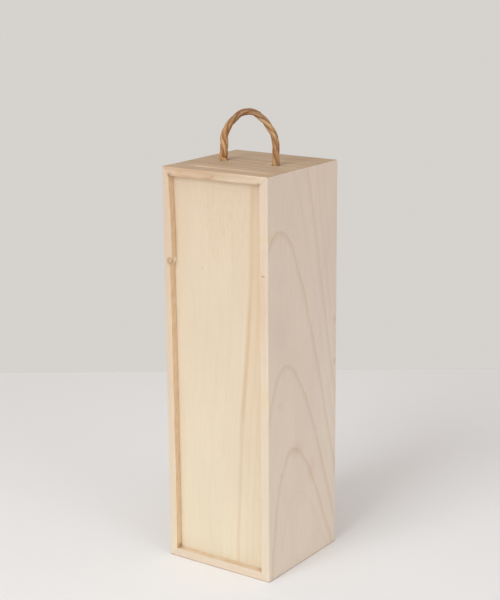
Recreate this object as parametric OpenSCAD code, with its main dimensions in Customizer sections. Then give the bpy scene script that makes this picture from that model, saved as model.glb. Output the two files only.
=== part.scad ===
// Wooden box for one bottle, standing upright, with a lift-out lid and a rope handle.
// Millimetres, +Z up. The origin is the middle of the underside, the lid is on the -Y side
// and +X is to the right of somebody who faces the lid.
//
// Four boards with mitred ends are glued into a tall ring. The back panel is pinned into a
// rebate behind them. The lid runs in a groove inside the front edges. The front slice of the
// top board is cut free and glued to the lid's top end, so the lid and this bar draw up and
// out in one piece. The rope passes through two holes in the top and is knotted below it.

/* [Box] */
// Width of the box, across the lid
box_w = 106; // [96:1:140]
// Depth of the box, from front edges to back
box_d = 106; // [96:1:140]
// Height of the box without the rope
box_h = 350; // [260:1:420]
// Thickness of the four boards
wall_t = 8; // [7:0.5:12]

/* [Lid] */
// Thickness of the lid panel
lid_t = 5; // [4:0.5:7]
// How far the lid's face lies behind the front edges
lid_recess = 6.5; // [4:0.5:10]
// Depth of the groove that the lid runs in
groove_depth = 4; // [3:0.5:5]
// Gap between the lid and its groove, on each face and edge
lid_clearance = 0.3; // [0.2:0.05:0.5]
// Wood left in the bar behind the lid panel
bar_back = 2.5; // [2:0.5:6]
// Gap round the bar, where it meets the fixed boards
bar_clearance = 0.3; // [0.2:0.05:0.5]

/* [Back] */
// Thickness of the back panel
back_t = 5; // [3:0.5:8]
// Width of the rebate that the back panel lies in
rebate_w = 4; // [3:0.5:5]
// Gap round the edge of the back panel
back_clearance = 0.15; // [0.05:0.05:0.4]

/* [Back pins] */
// Diameter of a panel pin's shank
pin_d = 1.2; // [1:0.1:1.6]
// Diameter of a panel pin's head
pin_head_d = 2.4; // [2:0.1:2.8]
// Thickness of a panel pin's head
pin_head_t = 0.6; // [0.4:0.1:1]
// Length of a panel pin, head included
pin_length = 16; // [12:1:20]
// Gap between a panel pin and its hole
pin_clearance = 0.03; // [0.02:0.01:0.06]
// Pins along each long edge of the back panel
pins_long = 5; // [3:1:7]
// Pins along each short edge of the back panel
pins_short = 2; // [1:1:3]

/* [Rope handle] */
// Diameter of the rope
rope_d = 6.5; // [5:0.5:7]
// Distance between the middles of the two rope holes
rope_spacing = 53; // [40:1:56]
// How far the two holes together sit to the right of the box's middle
rope_offset = -1; // [-4:0.5:4]
// Height of the rope's middle at the top of the hoop, above the box
hoop_rise = 43.3; // [36:0.1:60]
// Gap between the rope and its hole
rope_clearance = 0.4; // [0.3:0.05:0.6]
// Gap between the hoop's rounded feet and the box
foot_clearance = 0.3; // [0.2:0.05:0.5]
// Width of a stopper knot
knot_w = 18; // [15:0.5:20]
// Height of a stopper knot
knot_h = 15; // [12:0.5:18]
// Length of the rope's tail below a knot
tail_length = 8; // [4:1:12]

/* [Hidden] */
$fn = 64;
over = 1;  // how far a cut runs past the face it opens

// The ring of boards
half_w = box_w / 2;
half_d = box_d / 2;
inner_half_w = half_w - wall_t;
inner_top = box_h - wall_t;

// The lid panel, its groove and its bar
lid_front = -half_d + lid_recess;
lid_back = lid_front + lid_t;
groove_half_w = inner_half_w + groove_depth;
groove_floor = wall_t - groove_depth;
lid_half_w = groove_half_w - lid_clearance;
lid_bottom = groove_floor + lid_clearance;
lid_top = inner_top + groove_depth;
bar_rear = lid_back + bar_back;
top_front = bar_rear + bar_clearance;
mitre_shift = bar_clearance * sqrt(2);  // along a face at 45 degrees

// The back panel and its pins
back_front = half_d - back_t;
rebate_half_w = inner_half_w + rebate_w;
rebate_bottom = wall_t - rebate_w;
rebate_top = inner_top + rebate_w;
back_half_w = rebate_half_w - back_clearance;
back_bottom = rebate_bottom + back_clearance;
back_top = rebate_top - back_clearance;
pin_inset = rebate_w / 2;               // from the inner face of a board to a pin
pin_x = inner_half_w + pin_inset;
pin_low = wall_t - pin_inset;
pin_high = inner_top + pin_inset;
pin_step_z = (pin_high - pin_low) / (pins_long + 1);
pin_step_x = 2 * pin_x / (pins_short + 1);

// The rope
foot_z = box_h + foot_clearance + rope_d / 2;
arch_r = rope_spacing / 2;
arch_z = box_h + hoop_rise - arch_r;
lobe_r = knot_h * 0.28;                 // two lobes that overlap a little
lobe_off = knot_w / 2 - lobe_r;

wood = [0.91, 0.84, 0.73];
end_wood = [0.84, 0.75, 0.63];
sisal = [0.70, 0.51, 0.33];
steel = [0.62, 0.62, 0.64];

// A board whose outline lies in X and Z, from y0 to y1
module board(outline, y0, y1) {
    translate([0, y1, 0])
        rotate([90, 0, 0])
            linear_extrude(height = y1 - y0)
                polygon(outline);
}

// A block from one corner to the opposite one
module block(low, high) {
    translate(low)
        cube(high - low);
}

// The space that the lid's edges run in, open at the top
module lid_slot() {
    block([-groove_half_w, lid_front - lid_clearance, groove_floor],
          [groove_half_w, lid_back + lid_clearance, box_h + over]);
}

// The space that the back panel lies in, open at the back
module back_rebate() {
    block([-rebate_half_w, back_front, rebate_bottom],
          [rebate_half_w, half_d + over, rebate_top]);
}

// A panel pin with its head flush in the back, grown by gap all round
module pin(gap) {
    head_seat = half_d - pin_head_t;
    translate([0, head_seat, 0])
        rotate([-90, 0, 0])
            cylinder(d = pin_head_d + 2 * gap, h = pin_head_t + (gap > 0 ? over : 0), $fn = 24);
    translate([0, half_d - pin_length - gap, 0])
        rotate([-90, 0, 0])
            cylinder(d = pin_d + 2 * gap, h = pin_length + gap - pin_head_t, $fn = 24);
}

// All the panel pins, or their holes
module pins(gap) {
    for (side = [-1, 1], i = [1 : pins_long])
        translate([side * pin_x, 0, pin_low + i * pin_step_z])
            pin(gap);
    for (z = [pin_low, pin_high], i = [1 : pins_short])
        translate([-pin_x + i * pin_step_x, 0, z])
            pin(gap);
}

// side is -1 for left and 1 for right
module side_wall(side) {
    difference() {
        board([[side * half_w, 0],
               [side * half_w, box_h],
               [side * inner_half_w, inner_top],
               [side * inner_half_w, wall_t]], -half_d, half_d);
        lid_slot();
        back_rebate();
        pins(pin_clearance);
    }
}

module left_wall() {
    color(wood)
        side_wall(-1);
}

module right_wall() {
    color(wood)
        side_wall(1);
}

module bottom_wall() {
    color(wood)
        difference() {
            board([[-half_w, 0],
                   [half_w, 0],
                   [inner_half_w, wall_t],
                   [-inner_half_w, wall_t]], -half_d, half_d);
            lid_slot();
            back_rebate();
            pins(pin_clearance);
        }
}

// The fixed part of the top, behind the bar, with the two rope holes
module top_wall() {
    color(end_wood)
        difference() {
            board([[-half_w, box_h],
                   [half_w, box_h],
                   [inner_half_w, inner_top],
                   [-inner_half_w, inner_top]], top_front, half_d);
            for (side = [-1, 1])
                translate([rope_offset + side * rope_spacing / 2, 0, inner_top - over])
                    cylinder(d = rope_d + 2 * rope_clearance, h = wall_t + 2 * over);
            back_rebate();
            pins(pin_clearance);
        }
}

module back_panel() {
    color(wood)
        difference() {
            block([-back_half_w, back_front, back_bottom],
                  [back_half_w, half_d, back_top]);
            pins(pin_clearance);
        }
}

module back_pins() {
    color(steel)
        pins(0);
}

module lid_board() {
    block([-lid_half_w, lid_front, lid_bottom],
          [lid_half_w, lid_back, lid_top]);
}

module lid_panel() {
    color(wood)
        lid_board();
}

// The front slice of the top, grooved underneath for the lid's top end
module lid_bar() {
    color(end_wood)
        difference() {
            board([[-half_w + mitre_shift, box_h],
                   [half_w - mitre_shift, box_h],
                   [inner_half_w - mitre_shift, inner_top],
                   [-inner_half_w + mitre_shift, inner_top]], -half_d, bar_rear);
            lid_board();
        }
}

// The hoop above the box, with a round foot on each side that turns over its hole
module rope_hoop() {
    color(sisal)
        translate([rope_offset, 0, 0]) {
            for (side = [-1, 1])
                translate([side * arch_r, 0, foot_z]) {
                    sphere(d = rope_d);
                    cylinder(d = rope_d, h = arch_z - foot_z);
                }
            translate([0, 0, arch_z])
                rotate([90, 0, 0])
                    rotate_extrude(angle = 180)
                        translate([arch_r, 0])
                            circle(d = rope_d);
        }
}

// The rope in its hole, the stopper knot below the top board and the tail under the knot
module rope_knot(side) {
    knot_bottom = inner_top - knot_h;
    translate([rope_offset + side * arch_r, 0, 0]) {
        translate([0, 0, inner_top - lobe_r])
            cylinder(d = rope_d, h = wall_t + lobe_r);
        rotate_extrude() {
            for (z = [inner_top - lobe_r, knot_bottom + lobe_r])
                translate([lobe_off, z])
                    circle(r = lobe_r);
            translate([0, knot_bottom])
                square([lobe_off, knot_h]);
        }
        translate([0, 0, knot_bottom - tail_length])
            cylinder(d = rope_d, h = tail_length + lobe_r);
    }
}

module left_rope_knot() {
    color(sisal)
        rope_knot(-1);
}

module right_rope_knot() {
    color(sisal)
        rope_knot(1);
}

left_wall();
right_wall();
bottom_wall();
top_wall();
back_panel();
back_pins();
lid_panel();
lid_bar();
rope_hoop();
left_rope_knot();
right_rope_knot();
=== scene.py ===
"""Dresses the frame of a tall wooden box for one bottle: boards, lid, back panel, pins and rope handle."""

import math

import bmesh
import bpy
import numpy as np
from mathutils import Matrix, Vector, noise


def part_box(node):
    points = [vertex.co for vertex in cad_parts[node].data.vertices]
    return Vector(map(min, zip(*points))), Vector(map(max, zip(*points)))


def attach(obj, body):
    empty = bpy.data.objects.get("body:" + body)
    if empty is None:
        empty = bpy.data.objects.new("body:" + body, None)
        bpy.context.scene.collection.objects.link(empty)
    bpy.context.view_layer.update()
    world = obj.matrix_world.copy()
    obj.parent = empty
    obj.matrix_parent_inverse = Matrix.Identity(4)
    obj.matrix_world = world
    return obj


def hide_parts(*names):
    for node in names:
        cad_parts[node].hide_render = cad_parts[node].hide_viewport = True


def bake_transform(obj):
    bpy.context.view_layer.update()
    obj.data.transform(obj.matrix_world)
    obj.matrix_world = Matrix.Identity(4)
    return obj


bl_info = {
    "name": "Wooden Bottle Box",
    "version": (1, 0, 0),
    "blender": (4, 5, 0),
    "location": "3D View > Sidebar > Bottle Box",
    "description": "Builds the visible pieces of a tall wooden box with a lift-out lid and a rope handle",
    "category": "Add Mesh",
}

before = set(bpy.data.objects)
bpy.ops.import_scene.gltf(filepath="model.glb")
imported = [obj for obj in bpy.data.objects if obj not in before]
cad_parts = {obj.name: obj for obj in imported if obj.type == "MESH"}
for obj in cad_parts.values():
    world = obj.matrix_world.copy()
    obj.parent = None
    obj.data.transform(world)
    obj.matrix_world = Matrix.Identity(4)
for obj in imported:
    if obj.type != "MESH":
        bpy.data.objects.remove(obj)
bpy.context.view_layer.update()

MM = 0.001


def span(node):
    """The lowest and highest corners of a frame node, in millimetres."""
    low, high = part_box(node)
    return low / MM, high / MM


# Sizes that the frame gives, in millimetres
LEFT_LOW, LEFT_HIGH = span("left_wall")
RIGHT_HIGH = span("right_wall")[1]
LID_LOW, LID_HIGH = span("lid_panel")
BAR_LOW, BAR_HIGH = span("lid_bar")
TOP_LOW = span("top_wall")[0]
BACK_LOW, BACK_HIGH = span("back_panel")
PINS_LOW, PINS_HIGH = span("back_pins")
HOOP_LOW, HOOP_HIGH = span("rope_hoop")
KNOT_LOW = span("left_rope_knot")[0]

HALF_W = RIGHT_HIGH.x
FRONT = LEFT_LOW.y
BACK = LEFT_HIGH.y
HEIGHT = LEFT_HIGH.z
WALL = LEFT_HIGH.x - LEFT_LOW.x
INNER_TOP = HEIGHT - WALL
ROPE_D = HOOP_HIGH.y - HOOP_LOW.y
LEFT_HOLE = HOOP_LOW.x + ROPE_D / 2
RIGHT_HOLE = HOOP_HIGH.x - ROPE_D / 2
HOOP_TOP = HOOP_HIGH.z - ROPE_D / 2

# Sizes and counts that it does not, in millimetres
PIN_R = 0.6
PIN_HEAD_R = 1.2
PINS_LONG = 5    # down each side of the back
PINS_SHORT = 2   # along each end
BACK_GAP = 0.15  # round the back panel


def linear(code, alpha=None):
    """An sRGB hex colour as linear values, with alpha behind them where it is given."""
    parts = [int(code[i:i + 2], 16) / 255 for i in (1, 3, 5)]
    parts = [p / 12.92 if p <= 0.04045 else ((p + 0.055) / 1.055) ** 2.4 for p in parts]
    return tuple(parts) if alpha is None else (*parts, alpha)


def smooth(value, low, high):
    """0 at low and below, 1 at high and above, with a soft run between them."""
    t = min(max((value - low) / (high - low), 0.0), 1.0)
    return t * t * (3 - 2 * t)


# ---------------------------------------------------------------- settings


def length(name, description, value, low, high):
    """A length in millimetres as a property in metres."""
    return bpy.props.FloatProperty(
        name=name, description=description, default=value * MM, min=low * MM, max=high * MM,
        subtype="DISTANCE", unit="LENGTH", precision=5)


def colour(name, description, code):
    """A colour property whose default is an sRGB hex colour."""
    return bpy.props.FloatVectorProperty(
        name=name, description=description, default=linear(code), size=3, min=0, max=1, subtype="COLOR")


def power(name, description, value):
    """The power of a lamp, in watts."""
    return bpy.props.FloatProperty(
        name=name, description=description, default=value, min=0, subtype="POWER", unit="POWER")


class BottleBoxSizes(bpy.types.PropertyGroup):
    """Sizes of the finished wood that the frame does not carry."""

    arris: length("Arris", "Radius of the sanded long edges of the boards", 0.45, 0.1, 1.5)
    joint_edge: length("Joint edge", "Bevel on the mitred ends of the boards", 0.05, 0.02, 0.5)
    corner: length("Corner", "Radius sanded on the outer corners where two boards meet", 0.6, 0.1, 2)
    lid_gap: length("Lid gap", "Gap between the lid and its groove", 0.18, 0.1, 0.6)
    left_trim: length("Left trim", "How much narrower the left board's front edge is cut", 1.15, 0, 2)
    bar_trim: length("Bar trim", "How much narrower the bar's front edge is cut", 0.85, 0, 2)
    saw_wave: length("Saw wave", "How far the inner front edge of the left board wanders", 0.25, 0, 1)
    hole_gap: length("Hole gap", "Gap between the rope and its hole", 0.4, 0.2, 1)


class BottleBoxRope(bpy.types.PropertyGroup):
    """How the rope is laid."""

    lay: length("Lay", "Length in which a strand goes once round the rope", 36, 15, 60)
    left_leg: length("Left leg", "Thickness of the hoop's left leg, where the lay has opened", 7.2, 5, 8)
    right_leg: length("Right leg", "Thickness of the hoop's right leg", 6.5, 5, 8)
    apex: length("Top of the hoop", "Thickness of the rope where the bend pulls it thin", 5.9, 4, 8)
    knot_rope: length("Knot rope", "Thickness of the rope where a knot squeezes it", 5.7, 4, 7)
    fibre_length: length("Fibre length", "Length of the loose fibres on the rope", 1.6, 0.5, 6)
    fibre_width: length("Fibre width", "Diameter of a loose fibre", 0.12, 0.02, 0.4)
    left_shoulder: length("Left shoulder", "How far it lies inside a half circle", 1.7, 0, 4)
    right_shoulder: length("Right shoulder", "How far it lies inside a half circle", 1.6, 0, 4)
    sag: length("Sag", "How far the top of the hoop has sunk", 0.1, 0, 3)
    yarns: bpy.props.IntProperty(name="Yarns", description="Yarns in each strand", default=7, min=3, max=9)
    colour: colour("Fibre colour", "Colour of the fibre where the light reaches it", "#C79460")
    # The groove colour is painted shade between the strands, and also darkens random fibres.
    dark: colour("Groove colour", "Colour of the fibre between the strands", "#8D6135")
    pale: colour("Pale fibre colour", "Colour of the palest fibres", "#E5C28F")
    warm: colour("Warm fibre colour", "Colour of the reddest fibres", "#AE6A36")


class BottleBoxWood(bpy.types.PropertyGroup):
    """Colours of the bare wood."""

    board: colour("Board", "Pale wood of the side and bottom boards", "#EDDBC7")
    lid: colour("Lid", "Pale wood of the lid and the back panel", "#EEDFC3")
    top: colour("Top", "Browner wood of the top board and the bar", "#C4A98B")
    # The routed-recess colour is partly painted warm bounce light and shade.
    cut: colour("Fresh cut", "Wood in the routed recess", "#EBCCA5")


class BottleBoxStage(bpy.types.PropertyGroup):
    """Floor, backdrop and light."""

    floor: colour("Floor", "Colour of the floor", "#EFECE9")
    wall: colour("Backdrop", "Colour of the backdrop as it shows", "#D6D2CE")
    wall_distance: length("Backdrop distance", "How far the backdrop stands behind the box", 535, 200, 2000)
    key: power("Key light", "Power of the light from the front", 30)
    side: power("Side light", "Power of the light from the right", 12)
    top: power("Top light", "Power of the light from above", 3.3)
    fill: bpy.props.FloatProperty(
        name="Fill light", description="Strength of the light from all sides", default=0.57, min=0)


# ---------------------------------------------------------------- meshes


def rounded(corners, steps=3):
    """A closed outline whose corners, (x, y, radius), are eased, as (x, y) pairs."""
    outline = []
    count = len(corners)
    for i, (x, y, radius) in enumerate(corners):
        corner = Vector((x, y))
        before = (corner - Vector(corners[i - 1][:2])).normalized()
        after = (Vector(corners[(i + 1) % count][:2]) - corner).normalized()
        start, end = corner - before * radius, corner + after * radius
        for k in range(steps + 1):
            t = k / steps
            outline.append(tuple(start * (1 - t) ** 2 + corner * 2 * t * (1 - t) + end * t * t))
    return outline


def inset(outline, amount):
    """The outline drawn in by amount, for the small bevel round a board's end."""
    points = [Vector(p) for p in outline]
    count = len(points)
    area = sum(points[i - 1].x * points[i].y - points[i].x * points[i - 1].y for i in range(count))
    drawn = []
    for i in range(count):
        run = (points[(i + 1) % count] - points[i - 1]).normalized()
        drawn.append(tuple(points[i] + Vector((-run.y, run.x)) * math.copysign(amount, area)))
    return drawn


def board(name, corners, size, place, *, cuts, mitre=1.0, shift=0.0, edge=0.12, corner=0.0, trim=None):
    """A board whose section, (depth, across) in millimetres, runs along its length to plain or mitred ends.

    place turns (depth, across, along) into the object's own axes, and cuts is how many parts the length has.
    The ends start shift in, and lean in by mitre for each millimetre of depth. edge is their bevel and corner
    the radius of their outer corners. trim may change a point's depth, and the mitre follows it."""
    outline = rounded(corners)
    starts = [0.0, edge, edge + corner / 3, edge + corner]
    rings = [(inset(outline, edge), 0.0, 0.0)]
    for off in starts[1:]:
        rings.append((outline, off, 0.0))
    for k in range(1, cuts):
        rings.append((outline, starts[-1], k / cuts))
    for off in reversed(starts[1:]):
        rings.append((outline, off, 1.0))
    rings.append((inset(outline, edge), 0.0, 1.0))
    verts = []
    for ring, off, t in rings:
        for depth, across in ring:
            if trim:
                depth = trim(depth, across, t * size)
            low = depth * mitre + shift + off
            along = low + t * (size - 2 * low)
            from_end = min(along, size - along)
            if corner and depth < corner and from_end < corner:
                off_corner = Vector((depth - corner, from_end - corner))
                if off_corner.length > corner:
                    off_corner *= corner / off_corner.length
                depth, from_end = corner + off_corner.x, corner + off_corner.y
                along = from_end if along < size / 2 else size - from_end
            verts.append(Vector(place(depth, across, along)) * MM)
    count = len(outline)
    faces = [tuple(range(count)), tuple(reversed(range(len(verts) - count, len(verts))))]
    for r in range(len(rings) - 1):
        for i in range(count):
            j = (i + 1) % count
            faces.append((r * count + i, (r + 1) * count + i, (r + 1) * count + j, r * count + j))
    return new_piece(name, verts, faces)


def new_piece(name, verts, faces, outward=True):
    """An object at the origin with this mesh, its faces turned outwards."""
    mesh = bpy.data.meshes.new(name)
    mesh.from_pydata([tuple(v) for v in verts], [], faces)
    if outward:
        bm = bmesh.new()
        bm.from_mesh(mesh)
        bmesh.ops.recalc_face_normals(bm, faces=bm.faces)
        bm.to_mesh(mesh)
        bm.free()
    mesh.polygons.foreach_set("use_smooth", [True] * len(mesh.polygons))
    piece = bpy.data.objects.new(name, mesh)
    bpy.context.scene.collection.objects.link(piece)
    return piece


def turned(name, profile, centre, sides=48):
    """A closed solid turned round a line along Z through centre, from a profile of (radius, z)."""
    verts = [(centre[0], centre[1], profile[0][1])]
    for radius, z in profile:
        for k in range(sides):
            a = 2 * math.pi * k / sides
            verts.append((centre[0] + radius * math.cos(a), centre[1] + radius * math.sin(a), z))
    verts.append((centre[0], centre[1], profile[-1][1]))
    faces = []
    for k in range(sides):
        j = (k + 1) % sides
        faces.append((0, 1 + j, 1 + k))
        for r in range(len(profile) - 1):
            a, b = 1 + r * sides, 1 + (r + 1) * sides
            faces.append((a + k, a + j, b + j, b + k))
        last = 1 + (len(profile) - 1) * sides
        faces.append((last + k, last + j, len(verts) - 1))
    return new_piece(name, [Vector(v) * MM for v in verts], faces)


def settle(piece):
    """Applies the piece's modifiers and leaves a plain mesh."""
    bpy.context.view_layer.update()
    evaluated = piece.evaluated_get(bpy.context.evaluated_depsgraph_get())
    mesh = bpy.data.meshes.new_from_object(evaluated)
    piece.modifiers.clear()
    old = piece.data
    piece.data = mesh
    bpy.data.meshes.remove(old)
    mesh.name = piece.name
    return piece


def cut_away(piece, cutters):
    """Cuts the cutters out of the piece and removes them."""
    for cutter in cutters:
        step = piece.modifiers.new("cut", "BOOLEAN")
        step.operation = "DIFFERENCE"
        step.solver = "EXACT"
        step.object = cutter
    settle(piece)
    for cutter in cutters:
        mesh = cutter.data
        bpy.data.objects.remove(cutter)
        bpy.data.meshes.remove(mesh)


def even_shading(piece):
    """Lets the broad faces rule the shading, so that only the eased edges look round."""
    step = piece.modifiers.new("normals", "WEIGHTED_NORMAL")
    step.weight = 100
    step.keep_sharp = True
    return settle(piece)


def dress(piece, material, slot, *nodes):
    """Gives a piece its material and lets it stand for its frame nodes. slot is not used."""
    piece.data.materials.clear()
    piece.data.materials.append(material)
    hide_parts(*nodes)


# ---------------------------------------------------------------- materials


MATH = "ShaderNodeMath"


def add(tree, kind, inputs=(), **settings):
    """Adds one node with its settings; inputs are values, nodes (their first output) or sockets.

    stops, (place, brightness), are the stops of a colour ramp."""
    node = tree.nodes.new(kind)
    for key, value in settings.items():
        if key == "stops":
            ramp = node.color_ramp
            while len(ramp.elements) < len(value):
                ramp.elements.new(0.5)
            for element, (at, tint) in zip(ramp.elements, value):
                element.position = at
                element.color = (tint, tint, tint, 1)
        else:
            setattr(node, key, value)
    pairs = inputs.items() if isinstance(inputs, dict) else enumerate(inputs)
    for key, value in pairs:
        socket = node.inputs[key]
        if isinstance(value, bpy.types.Node):
            value = value.outputs[0]
        if isinstance(value, bpy.types.NodeSocket):
            tree.links.new(value, socket)
        elif value is not None:
            socket.default_value = value
    return node


def new_material(name):
    """A material with nothing but its output and Principled nodes: (material, tree, shader)."""
    material = bpy.data.materials.new(name)
    material.use_nodes = True
    tree = material.node_tree
    tree.nodes.clear()
    out = add(tree, "ShaderNodeOutputMaterial")
    shader = add(tree, "ShaderNodeBsdfPrincipled")
    tree.links.new(shader.outputs["BSDF"], out.inputs["Surface"])
    return material, tree, shader


# What a layer multiplies the colour under it by, as linear red, green and blue
SHADE = (0.80, 0.77, 0.74)      # an uneven patch or a darker fibre
DEEP = (0.62, 0.57, 0.50)       # an open vessel
LATE = (0.76, 0.66, 0.54)       # late wood, which draws the growth lines
CONTACT_SHADE = (0.66, 0.56, 0.50)  # painted contact shade on the lowest millimetre, where the box meets the floor
WORN_AND_SHADED = (0.60, 0.57, 0.59)       # rope that hands have greyed, and painted shade down the hoop's right side


def against(tint, base):
    """What base is multiplied by to give tint."""
    return tuple(part / whole for part, whole in zip(tint, base))


def wood(name, base, *, axes, lines, painted_top_shade=(1, 1, 1), marks=None, seed=0.0, late=LATE, line=0.42,
         grain=1.0):
    """Pale wood such as paulownia, sawn, sanded and left bare: matt and faintly streaked, with open vessels.

    axes says which of X, Y and Z runs across, through and along the board. lines draws the growth lines, and
    marks adds the board's own stains, some of them painted light and shade. The upper factors are painted
    shade that darkens the wood towards the top of the box, against its foot.
    Every layer multiplies the base."""
    material, tree, shader = new_material(name)
    place = add(tree, "ShaderNodeTexCoord")
    spot = add(tree, "ShaderNodeVectorMath", [place.outputs["Object"], (1 / MM,) * 3], operation="MULTIPLY")
    xyz = add(tree, "ShaderNodeSeparateXYZ", [spot]).outputs
    parts = [xyz[a] for a in axes]
    board_mm = add(tree, "ShaderNodeCombineXYZ", parts)

    def streaks(wide, long, detail=3.0, rough=0.55, shift=0.0):
        """Noise drawn out along the grain, wide and long in millimetres."""
        drawn = add(tree, "ShaderNodeVectorMath",
                    [board_mm, (1 / wide, 1 / wide, 1 / long), (seed + shift, seed, seed - shift)],
                    operation="MULTIPLY_ADD")
        return add(tree, "ShaderNodeTexNoise",
                   {"Vector": drawn, "Scale": 1.0, "Detail": detail, "Roughness": rough})

    growth = lines(tree, parts, streaks)
    fibre = add(tree, "ShaderNodeMapRange", (streaks(1.1, 38, 4.0, 0.68, 3.0), 0.34, 0.66, 0.0, 1.0))
    # Vessels show as short dark dashes; about 0.15 mm wide on real wood, drawn wider so that they show.
    vessels = add(tree, "ShaderNodeMapRange", (streaks(0.6, 5, 1.0, 0.5, 11.0), 0.60, 0.76, 0.0, 1.0))
    patches = add(tree, "ShaderNodeMapRange", (streaks(24, 80, 2.0, 0.5, 19.0), 0.35, 0.65, 0.0, 1.0))
    # rise runs from the foot to the top of the box; with the upper factors it lays painted shade that darkens
    # the top.
    rise = add(tree, "ShaderNodeMapRange", (xyz[2], 0.0, HEIGHT, 0.0, 1.0))

    # Painted contact shade: the lowest millimetre of each board is darkened where the box stands on the
    # floor.
    foot = band(tree, xyz[2], -1.0, 0.75, 0.35)
    layers = [(fibre, SHADE, 0.20 * grain), (patches, SHADE, 0.18 * grain), (vessels, DEEP, 0.14 * grain),
              (growth, late, line), (rise, painted_top_shade, 1.0), (foot, CONTACT_SHADE, 0.9)]
    if marks:
        facing = add(tree, "ShaderNodeSeparateXYZ", [place.outputs["Normal"]]).outputs
        layers += marks(tree, spot, xyz, facing, streaks)
    tint = (*base, 1)
    for mask, factors, strength in layers:
        share = add(tree, MATH, (mask, strength), operation="MULTIPLY", use_clamp=True)
        mix = add(tree, "ShaderNodeMix", {0: share, 6: tint, 7: (*factors, 1)},
                  data_type="RGBA", blend_type="MULTIPLY")
        tint = mix.outputs[2]
    tree.links.new(tint, shader.inputs["Base Color"])

    # Sanding leaves the fibre matt, with the vessels a little open and the late wood a little proud.
    gloss = add(tree, "ShaderNodeMapRange", (fibre, 0.0, 1.0, 0.58, 0.72))
    tree.links.new(gloss.outputs[0], shader.inputs["Roughness"])
    shader.inputs["IOR"].default_value = 1.5
    height = add(tree, MATH, (fibre, 0.35, growth), operation="MULTIPLY_ADD")
    height = add(tree, MATH, (height, vessels), operation="SUBTRACT")
    bump = add(tree, "ShaderNodeBump", {"Strength": 0.4, "Distance": 0.00008, "Height": height})
    tree.links.new(bump.outputs["Normal"], shader.inputs["Normal"])
    return material


def band(tree, value, low, high, soft):
    """1 where value lies between low and high, with edges soft wide."""
    rise = add(tree, "ShaderNodeMapRange", (value, low - soft, low + soft, 0.0, 1.0),
               interpolation_type="SMOOTHSTEP")
    fall = add(tree, "ShaderNodeMapRange", (value, high - soft, high + soft, 1.0, 0.0),
               interpolation_type="SMOOTHSTEP")
    return add(tree, MATH, (rise, fall), operation="MULTIPLY")


def near(tree, place_mm, spot, size, soft=1.0):
    """1 at a spot and 0 from size away, both (x, y, z) in millimetres. It falls over the outer soft share."""
    off = add(tree, "ShaderNodeVectorMath", (place_mm, spot), operation="SUBTRACT")
    share = add(tree, "ShaderNodeVectorMath", (off, size), operation="DIVIDE")
    far = add(tree, "ShaderNodeVectorMath", [share], operation="LENGTH")
    return add(tree, "ShaderNodeMapRange", (far.outputs["Value"], 1.0 - soft, 1.0, 1.0, 0.0),
               interpolation_type="SMOOTHSTEP")


def stains(tree, place_mm, spots):
    """Layers for a board's own spots: (middle, reach, factors, strength) and, where it is not 1, how soft."""
    return [(near(tree, place_mm, middle, reach, *soft), factors, strength)
            for middle, reach, factors, strength, *soft in spots]


def ringed(figure, places):
    """Growth lines where the growth coordinate passes places: (value, strength, width before and after)."""
    low, high = places[0][0] - 20.0, places[-1][0] + 20.0
    stops = [(0.0, 0.0)]
    for at, strength, before, after in places:
        for where, value in ((at - before, 0.0), (at, strength), (at + after, 0.0)):
            stops.append(((where - low) / (high - low), value))

    def lines(tree, parts, streaks):
        # The ring coordinate wanders a little, as a stem is never quite straight.
        wander = add(tree, MATH, (streaks(26, 95, 2.0), 4.0, -2.0), operation="MULTIPLY_ADD")
        wavy = add(tree, MATH, (parts[0], wander), operation="ADD")
        rings = figure(tree, wavy, parts[1], parts[2])
        rough_edge = add(tree, MATH, (streaks(2.5, 12, 2.0, shift=7.0), 0.9, -0.45),
                         operation="MULTIPLY_ADD")
        rings = add(tree, MATH, (rings, rough_edge), operation="ADD")
        along_rings = add(tree, "ShaderNodeMapRange", (rings, low, high, 0.0, 1.0))
        return add(tree, "ShaderNodeValToRGB", [along_rings], stops=stops).outputs["Color"]
    return lines


# The arches on the right board's face, in millimetres. Their axis lies AXIS_FOOT behind the front edge at the
# floor and leans forwards, less so higher up. Beside it an arch falls with the square of the distance and a
# little more with its cube, and faster on its front side.
AXIS_FOOT = 55.9
AXIS_LEAN = -0.2104
AXIS_CURVE = 0.00026
FRONT_STRETCH = 0.094
ARCH_FALL = 0.044
ARCH_STEEPEN = 0.00017


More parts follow.
